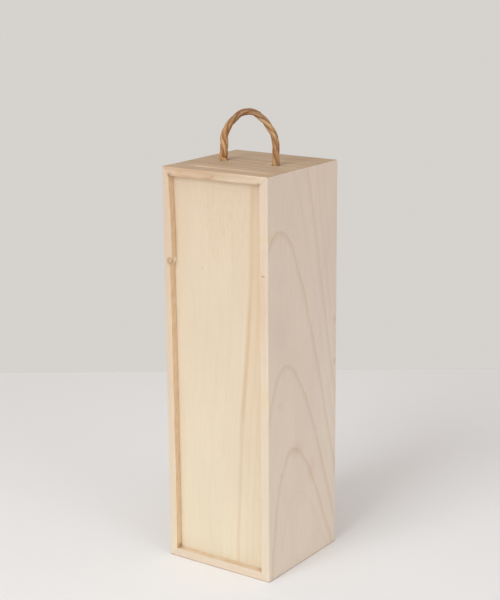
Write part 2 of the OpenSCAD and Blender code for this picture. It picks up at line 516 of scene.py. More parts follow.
def arched(places):
    """Growth lines that arch one above the other and lean, places being (height, strength) of each arch."""
    def lines(tree, parts, streaks):
        behind = add(tree, MATH, (parts[0], FRONT), operation="SUBTRACT")
        up = parts[2]
        lean = add(tree, MATH, (up, AXIS_CURVE, AXIS_LEAN), operation="MULTIPLY_ADD")
        axis = add(tree, MATH, (up, lean, AXIS_FOOT), operation="MULTIPLY_ADD")
        side = add(tree, MATH, (behind, axis), operation="SUBTRACT")
        fore = add(tree, MATH, (side, 0.0), operation="MINIMUM")
        side = add(tree, MATH, (fore, FRONT_STRETCH, side), operation="MULTIPLY_ADD")
        steep = add(tree, MATH, (side, ARCH_STEEPEN, ARCH_FALL), operation="MULTIPLY_ADD")
        drop = add(tree, MATH, (side, steep), operation="MULTIPLY")
        arch = add(tree, MATH, (drop, side, up), operation="MULTIPLY_ADD")
        # How fast the arches pass along the face, so that a line keeps its width down its legs
        turn = add(tree, MATH, (side, 3 * ARCH_STEEPEN, 2 * ARCH_FALL), operation="MULTIPLY_ADD")
        turn = add(tree, MATH, (turn, side), operation="MULTIPLY")
        pace = add(tree, "ShaderNodeVectorMath", [add(tree, "ShaderNodeCombineXYZ", (1.0, turn, 0.0))],
                   operation="LENGTH").outputs["Value"]
        wander = add(tree, MATH, (streaks(16, 30, 3.0, 0.6, 5.0), 5.0, -2.5), operation="MULTIPLY_ADD")
        total = None
        for at, strength in places:
            off = add(tree, MATH, (arch, at), operation="SUBTRACT")
            off = add(tree, MATH, (off, pace), operation="DIVIDE")
            off = add(tree, MATH, (off, wander), operation="ADD")
            crisp = add(tree, MATH, (band(tree, off, -0.5, 0.3, 0.7), 0.7), operation="MULTIPLY")
            soft = add(tree, MATH, (band(tree, off, -4.0, 0.2, 1.8), 0.3, crisp), operation="MULTIPLY_ADD")
            line = add(tree, MATH, (soft, strength), operation="MULTIPLY")
            total = line if total is None else add(tree, MATH, (total, line), operation="MAXIMUM")
        return total
    return lines


def off_the_edge(lines):
    """The same growth lines, left out on the front edge, where they run straight and hardly show."""
    def drawn(tree, parts, streaks):
        behind = add(tree, "ShaderNodeMapRange", (parts[0], FRONT + 0.3, FRONT + 1.6, 0.15, 1.0))
        return add(tree, MATH, (lines(tree, parts, streaks), behind), operation="MULTIPLY")
    return drawn


def stem(heart, taper, centre, lean, skew, level=300.0):
    """Growth coordinate of a flat-sawn board: nested arches that climb along it.

    heart is the depth of the pith below the face, taper how much faster the arches climb than they widen,
    and centre, lean and skew place their axis across the board, tilt it and draw one side in."""
    def figure(tree, across, depth, along):
        axis = add(tree, MATH, (along, -lean, centre + lean * level), operation="MULTIPLY_ADD")
        side = add(tree, MATH, (across, axis), operation="SUBTRACT")
        left = add(tree, MATH, (side, 0.0), operation="MINIMUM")
        side = add(tree, MATH, (left, skew, side), operation="MULTIPLY_ADD")
        down = add(tree, MATH, (depth, heart), operation="ADD")
        reach = add(tree, "ShaderNodeCombineXYZ", (side, down, 0.0))
        radius = add(tree, "ShaderNodeVectorMath", [reach], operation="LENGTH")
        rise = add(tree, MATH, (along, 1 / taper, -heart), operation="MULTIPLY_ADD")
        return add(tree, MATH, (radius.outputs["Value"], rise), operation="ADD")
    return figure


def leaning(middle, swing, level, run):
    """Growth coordinate of the lid: lines along the board that lean across it at one level."""
    def figure(tree, across, depth, along):
        climb = add(tree, MATH, (along, 1 / run, -level / run), operation="MULTIPLY_ADD")
        bend = add(tree, MATH, [climb], operation="TANH")
        axis = add(tree, MATH, (bend, swing, middle), operation="MULTIPLY_ADD")
        return add(tree, MATH, (across, axis), operation="SUBTRACT")
    return figure


def rope_fibre(rope):
    """Twisted plant fibre, sisal or jute: straw to brown, matt, with painted shade where the strands meet."""
    material, tree, shader = new_material("Twisted plant fibre")
    lay = add(tree, "ShaderNodeAttribute", attribute_name="lay")
    crown = add(tree, "ShaderNodeAttribute", attribute_name="crown")

    def strands(fine, long, shift):
        spot = add(tree, "ShaderNodeVectorMath",
                   [lay.outputs["Vector"], (1 / fine, 1 / fine, 1 / long), (shift, shift, shift)],
                   operation="MULTIPLY_ADD")
        return add(tree, "ShaderNodeTexNoise", {"Vector": spot, "Scale": 1.0, "Detail": 3.0})

    # Single fibres are about 0.2 mm; drawn at 0.5 mm and more so that they show.
    hair = add(tree, "ShaderNodeMapRange", (strands(0.55, 11, 1.0), 0.36, 0.64, 0.0, 1.0))
    tone = add(tree, "ShaderNodeMapRange", (strands(2.2, 16, 5.0), 0.38, 0.62, 0.0, 1.0))
    shade = add(tree, "ShaderNodeMapRange", (strands(0.7, 13, 9.0), 0.50, 0.66, 0.0, 0.75))
    warm = add(tree, MATH, (tone, 0.55), operation="MULTIPLY")
    # Painted shade in the grooves where the strands meet
    deep = add(tree, "ShaderNodeMapRange", (crown.outputs["Fac"], 0.78, 0.95, 0.85, 0.0),
               interpolation_type="SMOOTHSTEP")
    tint = (*rope.colour, 1)
    for share, dye in ((hair, (*rope.pale, 1)), (shade, (*rope.dark, 1)), (warm, (*rope.warm, 1)),
                       (deep, (*rope.dark, 1))):
        tint = add(tree, "ShaderNodeMix", {0: share, 6: tint, 7: dye}, data_type="RGBA").outputs[2]
    # Handling has greyed the top of the hoop; the darkening down its right side is painted shade.
    place = add(tree, "ShaderNodeTexCoord")
    spot = add(tree, "ShaderNodeVectorMath", [place.outputs["Object"], (1 / MM,) * 3], operation="MULTIPLY")
    xyz = add(tree, "ShaderNodeSeparateXYZ", [spot]).outputs
    worn = add(tree, "ShaderNodeMapRange", (xyz[2], HEIGHT + 22, HOOP_TOP + 2, 0.0, 1.0),
               interpolation_type="SMOOTHSTEP")
    right = add(tree, "ShaderNodeMapRange", (xyz[0], -12.0, 14.0, 0.0, 0.45),
                interpolation_type="SMOOTHSTEP")
    worn = add(tree, MATH, (worn, right), operation="MAXIMUM")
    tint = add(tree, "ShaderNodeMix", {0: worn, 6: tint, 7: (*WORN_AND_SHADED, 1)}, data_type="RGBA",
               blend_type="MULTIPLY").outputs[2]
    tree.links.new(tint, shader.inputs["Base Color"])
    gloss = add(tree, "ShaderNodeMapRange", (hair, 0.0, 1.0, 0.85, 0.62))
    tree.links.new(gloss.outputs[0], shader.inputs["Roughness"])
    bump = add(tree, "ShaderNodeBump", {"Strength": 0.7, "Distance": 0.0002, "Height": hair})
    tree.links.new(bump.outputs["Normal"], shader.inputs["Normal"])
    return material


def loose_fibre(rope):
    """Single loose ends of the same fibre, paler because light passes round them."""
    material, tree, shader = new_material("Loose plant fibre")
    place = add(tree, "ShaderNodeTexCoord")
    tone = add(tree, "ShaderNodeTexNoise",
               {"Vector": place.outputs["Object"], "Scale": 420.0, "Detail": 1.0})
    share = add(tree, "ShaderNodeMapRange", (tone, 0.4, 0.6, 0.0, 1.0))
    mixed = add(tree, "ShaderNodeMix", {0: share, 6: (*rope.pale, 1), 7: (*rope.colour, 1)},
                data_type="RGBA")
    tree.links.new(mixed.outputs[2], shader.inputs["Base Color"])
    shader.inputs["Roughness"].default_value = 0.7
    return material


def pin_steel():
    """Bright drawn steel wire: a soft metal shine, a little stained in places."""
    material, tree, shader = new_material("Bright steel wire")
    place = add(tree, "ShaderNodeTexCoord")
    stain = add(tree, "ShaderNodeTexNoise",
                {"Vector": place.outputs["Object"], "Scale": 900.0, "Detail": 4.0})
    share = add(tree, "ShaderNodeMapRange", (stain, 0.35, 0.7, 0.0, 1.0))
    mixed = add(tree, "ShaderNodeMix", {0: share, 6: linear("#C2C1BE", 1), 7: linear("#9A9894", 1)},
                data_type="RGBA")
    tree.links.new(mixed.outputs[2], shader.inputs["Base Color"])
    shader.inputs["Metallic"].default_value = 1.0
    gloss = add(tree, "ShaderNodeMapRange", (stain, 0.3, 0.7, 0.28, 0.46))
    tree.links.new(gloss.outputs[0], shader.inputs["Roughness"])
    return material


# ---------------------------------------------------------------- rope geometry


def evenly(points, step):
    """The same path with its points step apart."""
    points = np.asarray(points, float)
    run = np.concatenate([[0], np.cumsum(np.linalg.norm(np.diff(points, axis=0), axis=1))])
    count = max(2, int(round(run[-1] / step)))
    at = np.linspace(0, run[-1], count + 1)
    return np.stack([np.interp(at, run, points[:, k]) for k in range(3)], 1)


INTO_HOLE = 3.0    # how far the hoop's piece of rope reaches into each hole
FOOT_SHIFT = 0.9   # how far the left leg stands off its hole, above the rim
OUTER_FLARE = 1.7  # how far its strands part there on the side away from the hoop
INNER_FLARE = 0.2  # and how far on the hoop's side


def foot_bulge(z):
    """1 just above the hole, falling off quickly into it and slowly up the leg."""
    widest, below, above = 1.6, 0.9, 3.6
    up = z - HEIGHT - widest
    return math.exp(-((up / (below if up < 0 else above)) ** 2))


def hoop_path(rope):
    """The rope's middle, in millimetres: up out of the left hole, over the hoop and down the right hole."""
    centre = (LEFT_HOLE + RIGHT_HOLE) / 2
    radius = (RIGHT_HOLE - LEFT_HOLE) / 2
    spring = HOOP_TOP - radius
    low = HEIGHT - INTO_HOLE
    path = [(LEFT_HOLE - FOOT_SHIFT * foot_bulge(z), 0, z) for z in np.arange(low, spring, 1.0)]
    for a in np.linspace(math.pi, 0, 90):
        shoulder = (rope.left_shoulder if math.cos(a) < 0 else rope.right_shoulder) / MM
        sunk = rope.sag / MM * math.sin(a) ** 2
        r = radius - shoulder * math.sin(2 * a) ** 2
        path.append((centre + r * math.cos(a), 0, spring + r * math.sin(a) - sunk))
    path += [(RIGHT_HOLE, 0, z) for z in np.arange(spring - 1, low - 0.5, -1.0)]
    return path


def hoop_thickness(rope, path):
    """The hoop's thickness along its path: thicker in the left leg above its hole, and thin over the top."""
    pulled = np.array([smooth(z, HEIGHT + 12, HOOP_TOP) for z in path[:, 2]])
    rightward = np.array([smooth(x, LEFT_HOLE, RIGHT_HOLE) for x in path[:, 0]])
    out_of_hole = np.array([smooth(z, HEIGHT, HEIGHT + 4) for z in path[:, 2]])
    legs = rope.left_leg * (1 - rightward) + rope.right_leg * rightward
    legs = rope.right_leg * (1 - out_of_hole) + legs * out_of_hole
    return (legs * (1 - pulled) + rope.apex * pulled) / MM


def knot_path(x):
    """An overhand knot pulled up under the top board: out of the hole, once round and through, and a tail."""
    loop_r, swing, rise = 3.7, 2.6, 4.5
    tail, tail_length = KNOT_LOW.z + 0.6, 8
    middle = (KNOT_LOW.z + tail_length + INNER_TOP) / 2 - 0.5
    loop = []
    for a in np.linspace(math.pi / 3, 11 * math.pi / 3, 90):
        r = loop_r + swing * math.cos(1.5 * a)
        loop.append((r * math.cos(a), r * math.sin(a), middle + rise * math.sin(1.5 * a)))
    path = [(0, 0, z) for z in (HEIGHT - INTO_HOLE - 0.1, HEIGHT - 5, INNER_TOP, INNER_TOP - 1.2)]
    path += loop + [(0, 0, z) for z in (tail + 5.9, tail + 3.4, tail)]
    path = evenly(path, 0.5)
    for _ in range(10):
        path[1:-1] = path[1:-1] * 0.5 + (path[:-2] + path[2:]) * 0.25
    return evenly(path + (x, 0, 0), 0.6)


STRAND_R = 0.355    # a strand's radius, as a share of the rope's thickness
YARN_GROOVE = 0.07  # how deep its yarns stand apart, as a share of its radius
YARN_TURNS = 0.75   # how often its yarns go round it in one lay of the rope


def laid_rope(name, path, thick, lay, yarns, first=0.0, spread=None):
    """Three strands laid left-handed round a path, each of several yarns, as three closed tubes in one mesh.

    It carries the attributes that the fibre material reads: lay, a place on the strand's own yarns, and
    crown, which is 0 at the rope's middle and 1 on the strands' backs. first is the angle that the lay starts
    at, and spread may shift a strand's middle."""
    path = np.asarray(path, float)
    ahead = np.gradient(path, axis=0)
    ahead /= np.linalg.norm(ahead, axis=1)[:, None]
    across = np.array((0.0, -1.0, 0.0))
    run = np.concatenate([[0], np.cumsum(np.linalg.norm(np.diff(path, axis=0), axis=1))])
    thick = np.broadcast_to(np.asarray(thick, float), len(path))
    sides = yarns * 5
    other_fibres = 200  # how far apart the strands' places in the fibre pattern lie
    verts, faces, crown, lays = [], [], [], []
    frames = []
    for t in ahead:
        across = across - t * float(across @ t)
        across = across / np.linalg.norm(across)
        frames.append((np.cross(across, t), across))
    for strand in range(3):
        base = len(verts)
        for i, middle in enumerate(path):
            strand_r = thick[i] * STRAND_R
            turn = first + 2 * math.pi * (strand / 3 - run[i] / lay)
            one, two = frames[i]
            out = one * math.cos(turn) + two * math.sin(turn)
            sideways = two * math.cos(turn) - one * math.sin(turn)
            heart = middle + out * (thick[i] / 2 - strand_r)
            if spread:
                heart = heart + spread(middle, out)
            for k in range(sides):
                a = 2 * math.pi * k / sides
                yarn = a - 2 * math.pi * YARN_TURNS * run[i] / lay
                # The yarns swell and thin out by up to a tenth of a millimetre or so.
                spot = Vector((math.cos(yarn) * 1.5, math.sin(yarn) * 1.5, run[i] * 0.12 + strand * 9))
                swell = noise.noise(spot) * 0.10 + noise.noise(spot * 2.7) * 0.06
                groove = (0.5 - 0.5 * math.cos(yarns * yarn)) ** 0.5
                r = strand_r * (1 - YARN_GROOVE + YARN_GROOVE * groove) + swell
                point = heart + (out * math.cos(a) + sideways * math.sin(a)) * r
                verts.append(point)
                crown.append(min(1.0, float(np.linalg.norm(point - middle)) / (thick[i] / 2)))
                lays.append((math.cos(yarn) * strand_r, math.sin(yarn) * strand_r,
                             run[i] + strand * other_fibres))
        for i in range(len(path) - 1):
            for k in range(sides):
                j = (k + 1) % sides
                a, b = base + i * sides, base + (i + 1) * sides
                faces.append((a + k, a + j, b + j, b + k))
        last = base + (len(path) - 1) * sides
        faces.append(tuple(base + k for k in reversed(range(sides))))
        faces.append(tuple(last + k for k in range(sides)))
    rope = new_piece(name, [Vector(v) * MM for v in verts], faces)
    rope.data.attributes.new("crown", "FLOAT", "POINT").data.foreach_set("value", crown)
    lay_values = [part for place in lays for part in place]
    rope.data.attributes.new("lay", "FLOAT_VECTOR", "POINT").data.foreach_set("vector", lay_values)
    return rope


def fibre_tree(material):
    """Geometry nodes that set loose fibres on the rope's surface."""
    tree = bpy.data.node_groups.new("Loose fibres", "GeometryNodeTree")
    face = tree.interface
    face.new_socket("Geometry", in_out="INPUT", socket_type="NodeSocketGeometry")
    for label, value in (("Length", 0.003), ("Width", 0.0001), ("Density", 120000.0)):
        face.new_socket(label, in_out="INPUT", socket_type="NodeSocketFloat").default_value = value
    face.new_socket("Seed", in_out="INPUT", socket_type="NodeSocketInt").default_value = 4
    face.new_socket("Geometry", in_out="OUTPUT", socket_type="NodeSocketGeometry")
    given = add(tree, "NodeGroupInput")
    out = add(tree, "NodeGroupOutput")
    points = add(tree, "GeometryNodeDistributePointsOnFaces",
                 {"Mesh": given.outputs["Geometry"], "Density": given.outputs["Density"],
                  "Seed": given.outputs["Seed"]})
    bow = add(tree, "GeometryNodeCurveQuadraticBezier",
              {"Resolution": 5, "Start": (0.0, 0.0, -0.05), "Middle": (0.55, 0.0, 0.1),
               "End": (1.0, 0.12, 0.42)})
    size = add(tree, "ShaderNodeCombineXYZ", [given.outputs["Length"]] * 3)
    sized = add(tree, "GeometryNodeTransform", {"Geometry": bow, "Scale": size})
    along = add(tree, "GeometryNodeSplineParameter")
    taper = add(tree, "ShaderNodeMapRange", (along.outputs["Factor"], 0.0, 1.0, 0.5, 0.2))
    thick = add(tree, MATH, (taper, given.outputs["Width"]), operation="MULTIPLY")
    ring = add(tree, "GeometryNodeCurvePrimitiveCircle", {"Resolution": 4, "Radius": 1.0}, mode="RADIUS")
    tube = add(tree, "GeometryNodeCurveToMesh",
               {"Curve": sized, "Profile Curve": ring, "Scale": thick, "Fill Caps": True})
    spin = add(tree, "FunctionNodeRandomValue", {2: 0.0, 3: 2 * math.pi, "Seed": 7}, data_type="FLOAT")
    twist = add(tree, "ShaderNodeCombineXYZ", {"Z": spin.outputs[1]})
    turn = add(tree, "FunctionNodeRotateRotation",
               {"Rotation": points.outputs["Rotation"], "Rotate By": twist}, rotation_space="LOCAL")
    grow = add(tree, "FunctionNodeRandomValue", {2: 0.45, 3: 1.2, "Seed": 9}, data_type="FLOAT")
    placed = add(tree, "GeometryNodeInstanceOnPoints",
                 {"Points": points, "Instance": tube, "Rotation": turn, "Scale": grow.outputs[1]})
    real = add(tree, "GeometryNodeRealizeInstances", [placed])
    dyed = add(tree, "GeometryNodeSetMaterial", {"Geometry": real, "Material": material})
    joined = add(tree, "GeometryNodeJoinGeometry")
    tree.links.new(dyed.outputs[0], joined.inputs[0])
    tree.links.new(given.outputs["Geometry"], joined.inputs[0])
    tree.links.new(joined.outputs[0], out.inputs[0])
    return tree


def pin_tree(material):
    """Geometry nodes that drive one pin in at each point, each turned a little differently."""
    tree = bpy.data.node_groups.new("Panel pins", "GeometryNodeTree")
    face = tree.interface
    face.new_socket("Geometry", in_out="INPUT", socket_type="NodeSocketGeometry")
    face.new_socket("Pin", in_out="INPUT", socket_type="NodeSocketObject")
    face.new_socket("Seed", in_out="INPUT", socket_type="NodeSocketInt").default_value = 3
    face.new_socket("Geometry", in_out="OUTPUT", socket_type="NodeSocketGeometry")
    given = add(tree, "NodeGroupInput")
    out = add(tree, "NodeGroupOutput")
    points = add(tree, "GeometryNodeMeshToPoints", {"Mesh": given.outputs["Geometry"]})
    pin = add(tree, "GeometryNodeObjectInfo", {"Object": given.outputs["Pin"]})
    spin = add(tree, "FunctionNodeRandomValue", {2: 0.0, 3: 2 * math.pi, "Seed": given.outputs["Seed"]},
               data_type="FLOAT")
    turned_by = add(tree, "ShaderNodeCombineXYZ", (-math.pi / 2, spin.outputs[1], 0.0))
    turn = add(tree, "FunctionNodeEulerToRotation", [turned_by])
    placed = add(tree, "GeometryNodeInstanceOnPoints",
                 {"Points": points, "Instance": pin.outputs["Geometry"], "Rotation": turn})
    real = add(tree, "GeometryNodeRealizeInstances", [placed])
    dyed = add(tree, "GeometryNodeSetMaterial", {"Geometry": real, "Material": material})
    tree.links.new(dyed.outputs[0], out.inputs[0])
    return tree


def run_nodes(piece, tree, **values):
    """Runs a geometry tree on a piece with these inputs and leaves a plain mesh."""
    step = piece.modifiers.new("made", "NODES")
    step.node_group = tree
    for item in tree.interface.items_tree:
        key = item.name.lower().replace(" ", "_")
        if item.in_out == "INPUT" and key in values:
            step[item.identifier] = values[key]
    return settle(piece)


# ---------------------------------------------------------------- the pieces


def wall_section(sizes):
    """The section of a board, (depth, across, radius): routed for the lid and rebated for the back."""
    gap = sizes.lid_gap / MM
    groove = WALL - (LID_HIGH.x + gap - (HALF_W - WALL))
    rebate = BACK_HIGH.y - BACK_LOW.y
    lip = WALL - (BACK_HIGH.x - (HALF_W - WALL)) - BACK_GAP
    arris = sizes.arris / MM
    return [(0, FRONT, arris), (WALL, FRONT, arris * 0.7), (WALL, LID_LOW.y - gap, 0.15),
            (groove, LID_LOW.y - gap, 0.1), (groove, LID_HIGH.y + gap, 0.1), (WALL, LID_HIGH.y + gap, 0.2),
            (WALL, BACK - rebate, 0.15), (lip, BACK - rebate, 0.1), (lip, BACK, 0.15), (0, BACK, arris)]


def pin_places():
    """The middles of the pins' heads, (x, z) in millimetres, down the back's sides and along its ends."""
    left, right = PINS_LOW.x + PIN_HEAD_R, PINS_HIGH.x - PIN_HEAD_R
    low, high = PINS_LOW.z + PIN_HEAD_R, PINS_HIGH.z - PIN_HEAD_R
    down = [low + k * (high - low) / (PINS_LONG + 1) for k in range(1, PINS_LONG + 1)]
    along = [left + k * (right - left) / (PINS_SHORT + 1) for k in range(1, PINS_SHORT + 1)]
    return [(x, z) for x in (left, right) for z in down] + [(x, z) for z in (low, high) for x in along]


def at_pins(name, profile, material):
    """A solid turned from a profile, (radius, height over the back's face), at each pin's place."""
    solid = turned("one " + name, profile, (0, 0), sides=24)
    points = new_piece(name, [Vector((x, BACK, z)) * MM for x, z in pin_places()], [], outward=False)
    run_nodes(points, pin_tree(material), pin=solid)
    mesh = solid.data
    bpy.data.objects.remove(solid)
    bpy.data.meshes.remove(mesh)
    return points


def bore_for_pins(piece):
    """Bores the pins' holes in a piece, with a seat for each head."""
    deep = PINS_HIGH.y - PINS_LOW.y
    bore, seat = PIN_R + 0.03, PIN_HEAD_R + 0.05
    hole = [(bore, -deep - 0.1), (bore, -0.66), (seat, -0.63), (seat, 1.5)]
    cut_away(piece, [at_pins("holes", hole, None)])


def drift(along, *swings):
    """How far a saw has wandered at along, from its swings: (length, weight, place in the noise)."""
    return sum(weight * noise.noise(Vector((*place, along / wave))) for wave, weight, place in swings)


# The height of a small knot in the left board's front edge
KNOT_AT = 269.7
# How far the saw has run into that edge: (distance along its inner side, share of the trim). It swings about
# the knot.
SAW_LINE = ((0, 0.9), (42, 0.55), (90, 0.75), (137, 0.8), (184, 1.3), (232, 1.45), (256, 1.9),
            (270.5, 2.3), (273, 0.5), (277, 0.1), (300, 0.25), (323, 0.95), (342, 1.9), (350, 1.9))


class BOTTLEBOX_OT_side_boards(bpy.types.Operator):
    """Build the left and right boards with their grooves, rebates and mitred ends"""

    bl_idname = "bottlebox.side_boards"
    bl_label = "Side boards"

    def execute(self, context):
        sizes, colours = context.scene.bottlebox_sizes, context.scene.bottlebox_wood
        trim, wave = sizes.left_trim / MM, sizes.saw_wave / MM
        heights, share = zip(*SAW_LINE)

        def sawn(depth, across, along):
            """The left board's front edge is cut narrower and wanders, but is full at a small knot."""
            if across > LID_LOW.y:
                return depth
            inner, back = smooth(depth, WALL * 0.5, WALL), smooth(across, FRONT, LID_LOW.y)
            off_line = drift(along, (17, 1.0, (3.1, 0.4)), (6, 0.6, (8.3, 0.4)))
            sawn_off = trim * float(np.interp(along, heights, share))
            return depth - inner * (sawn_off * (1 - 0.3 * back) - wave * off_line * (1 - 0.65 * back))

        for name, x, inward, shape, node in (("left_board", LEFT_LOW.x, 1, sawn, "left_wall"),
                                             ("right_board", HALF_W, -1, None, "right_wall")):
            piece = board(name, wall_section(sizes), HEIGHT, lambda d, w, s: (x + inward * d, w, s),
                          cuts=320, edge=sizes.joint_edge / MM, corner=sizes.corner / MM, trim=shape)
            bore_for_pins(piece)
            even_shading(piece)
            dress(piece, side_wood(colours, name), "board_wood", node)
            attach(piece, "box")
        return {"FINISHED"}


def front_edge(tree, xyz, facing):
    """1 on the front edges of the boards."""
    turned_out = add(tree, "ShaderNodeMapRange", (facing[1], -0.85, -0.45, 1.0, 0.0))
    ahead = band(tree, xyz[1], FRONT - 3, FRONT + 0.7, 0.2)
    return add(tree, MATH, (turned_out, ahead), operation="MULTIPLY")


def recess_marks(tree, cut, spot, xyz, facing, axis, sign, strength=0.95):
    """The routed face in front of the lid: orange, partly from the cutter's heat and partly painted warm
    bounce light and shade of the recess, and darker in places.
    """
    turned_in = add(tree, "ShaderNodeMapRange", (facing[axis], 0.35 * sign, 0.75 * sign, 0.0, 1.0))
    ahead = band(tree, xyz[1], FRONT + 0.1, LID_LOW.y + 1.5, 0.25)
    mask = add(tree, MATH, (turned_in, ahead), operation="MULTIPLY")
    burn = add(tree, "ShaderNodeTexNoise", {"Vector": spot, "Scale": 0.11, "Detail": 3.0})
    dark = add(tree, "ShaderNodeMapRange", (burn, 0.42, 0.66, 0.0, 1.0))
    dark = add(tree, MATH, (dark, mask), operation="MULTIPLY")
    return [(mask, cut, strength), (dark, (0.86, 0.78, 0.66), 0.5)]


# The boards' own spots: (middle, reach, factors, strength) and, where it is not 1, the soft share of the
# reach. Places and reaches are (x, y, z) in millimetres, and the factors are those of a layer.
RIGHT_SPOTS = (
    # The outer face: grey and brown stains along the arches
    ((HALF_W, FRONT + 18, 154), (30, 7, 6), (0.93, 0.92, 0.90), 0.8),
    ((HALF_W, FRONT + 5, 300), (30, 12, 8), (0.98, 0.96, 0.84), 0.9),
    ((HALF_W, FRONT + 42, 108), (30, 18, 11), (0.94, 0.89, 0.85), 1.0),
    ((HALF_W, FRONT + 66, 82), (30, 10, 20), (0.95, 0.91, 0.87), 1.0),
    # Two reddish marks on its back edge
    ((HALF_W, FRONT + 103, 210), (30, 3, 7), (0.86, 0.74, 0.66), 0.8),
    ((HALF_W, FRONT + 103, 172), (30, 3, 6), (0.88, 0.76, 0.68), 0.8),
    # Two grey patches, a fleck and the cooler back of the board
    ((HALF_W, FRONT + 21, 262), (30, 13, 13), (0.95, 0.95, 0.95), 0.7),
    ((HALF_W, FRONT + 18, 218), (30, 20, 26), (0.96, 0.95, 0.96), 0.8),
    ((HALF_W, FRONT + 19, 91), (30, 1.6, 3.5), (0.80, 0.76, 0.72), 0.6),
    ((HALF_W, FRONT + 92, 190), (30, 40, 130), (1.01, 1.03, 1.08), 1.0),
    # The front edge: yellow wood at its corner, a reddish streak and a fleck
    ((HALF_W, FRONT, 165), (30, 7, 18), (1.0, 0.98, 0.87), 0.9),
    ((HALF_W - 5.5, FRONT, 246), (6.5, 3, 75), (0.97, 0.90, 0.85), 1.0),
    ((HALF_W - 4.8, FRONT, 268.3), (2.4, 3, 1.1), (0.68, 0.60, 0.52), 0.9, 0.6),
)
LEFT_SPOTS = (
    # The brown heart of the knot and the reddish outer half of the edge
    ((LEFT_LOW.x + 5.4, FRONT, KNOT_AT - 0.6), (4.4, 3, 5.6), (0.80, 0.72, 0.66), 1.0),
    ((LEFT_LOW.x + 2, FRONT, 200), (3.2, 3, 260), (1.0, 0.965, 0.96), 1.0),
    # Painted light on the shaded recess face under the knot, where a lit notch shows
    ((LEFT_HIGH.x - 1, LID_LOW.y, KNOT_AT), (3, 5.6, 3.6), (1.2, 1.36, 1.55), 1.0, 0.6),
    # Darker at the foot of the recess and beside the top mitre
    ((LEFT_HIGH.x - 1, LID_LOW.y - 1, 9), (3, 5, 3.5), (0.62, 0.50, 0.42), 0.9),
    ((LEFT_HIGH.x - 1.6, FRONT, 343.2), (3.2, 3, 3), (0.66, 0.50, 0.42), 0.8),
)
# The growth lines: each arch's height and strength on the right board, and on the left board each line's
# coordinate and strength
RIGHT_ARCHES = ((110, 1.0), (187, 0.95), (303, 1.0), (457, 0.8), (381, 0.3), (545, 0.4), (620, 0.3),
                (70, 0.3))
LEFT_LINES = ((8, 0.8), (24, 0.9), (33, 0.5), (52, 0.9), (70, 0.8), (86, 0.5))


def side_wood(colours, name):
    """The side boards are flat sawn from one plank: broad arches on the outer faces."""
    right = name == "right_board"
    base = tuple(colours.board)
    cut = against(colours.cut, base)

    def marks(tree, spot, xyz, facing, streaks):
        layers = recess_marks(tree, cut, spot, xyz, facing, 0, -1 if right else 1)
        edge = front_edge(tree, xyz, facing)
        # Painted shade: the front edge grows darker towards the top of the box.
        rise = add(tree, "ShaderNodeMapRange", (xyz[2], 0.0, HEIGHT, 0.0, 1.0))
        painted_edge_shade = add(tree, MATH, (edge, rise), operation="MULTIPLY")
        if right:
            layers += [(edge, (1.01, 1.01, 0.96), 1.0), (painted_edge_shade, (0.93, 0.91, 0.90), 1.0)]
            return layers + stains(tree, spot, RIGHT_SPOTS)
        heart = (LEFT_LOW.x + 5.9, FRONT, KNOT_AT)
        ring = add(tree, "ShaderNodeVectorMath", (spot, heart), operation="DISTANCE")
        loop = band(tree, ring.outputs["Value"], 1.7, 2.9, 0.6)
        layers += [(edge, (1.0, 1.0, 0.91), 1.0), (painted_edge_shade, (0.90, 0.84, 0.82), 1.0),
                   (loop, (0.76, 0.62, 0.54), 0.8)]
        return layers + stains(tree, spot, LEFT_SPOTS)

    if right:
        lines = arched(RIGHT_ARCHES)
    else:
        lines = ringed(stem(60, 5.6, FRONT + 60, -0.08, 0.3), [(*line, 1, 1.8) for line in LEFT_LINES])
    return wood(f"Sanded pale board wood, {'right' if right else 'left'}", base, axes=(1, 0, 2),
                lines=off_the_edge(lines), painted_top_shade=(0.925, 0.895, 0.893), marks=marks,
                seed=2.0 if right else 31.0, line=0.62 if right else 0.42)


class BOTTLEBOX_OT_end_boards(bpy.types.Operator):
    """Build the bottom board and the fixed part of the top board, with its two rope holes"""

    bl_idname = "bottlebox.end_boards"
    bl_label = "Bottom and top boards"

    def execute(self, context):
        sizes, colours = context.scene.bottlebox_sizes, context.scene.bottlebox_wood
        edge, corner = sizes.joint_edge / MM, sizes.corner / MM
        section = wall_section(sizes)

        def ledged(depth, across, along):
            """The ledge in front of the lid is chipped along its front edge."""
            if across > LID_LOW.y:
                return depth
            share = smooth(depth, WALL * 0.5, WALL) * (1 - 0.7 * smooth(across, FRONT, LID_LOW.y))
            chips = drift(along, (15, 1.0, (2.7, 6.1)), (4, 0.7, (7.7, 1.1)))
            return depth + share * (0.45 * chips - 0.5)

        piece = board("bottom_board", section, 2 * HALF_W, lambda d, w, s: (s - HALF_W, w, d),
                      cuts=160, edge=edge, corner=corner, trim=ledged)
        bore_for_pins(piece)
        even_shading(piece)
        dress(piece, bottom_wood(colours), "board_wood", "bottom_wall")
        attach(piece, "box")

        arris = sizes.arris / MM
        behind = [(0, TOP_LOW.y, arris), (WALL, TOP_LOW.y, 0.2)] + section[6:]
        piece = board("top_board", behind, 2 * HALF_W, lambda d, w, s: (s - HALF_W, w, HEIGHT - d),
                      cuts=60, edge=edge, corner=corner)
        hole = ROPE_D / 2 + sizes.hole_gap / MM
        rim = 0.35
        eased = [(rim, -2), (rim, 0), (rim * 0.3, rim * 0.3), (0, rim)]
        profile = [(hole + out, INNER_TOP + up) for out, up in eased]
        profile += [(hole + out, HEIGHT - up) for out, up in reversed(eased)]
        cut_away(piece, [turned("hole", profile, (x, 0)) for x in (LEFT_HOLE, RIGHT_HOLE)])
        bore_for_pins(piece)
        even_shading(piece)
        dress(piece, top_wood(colours, "top board"), "top_wood", "top_wall")
        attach(piece, "box")
        return {"FINISHED"}


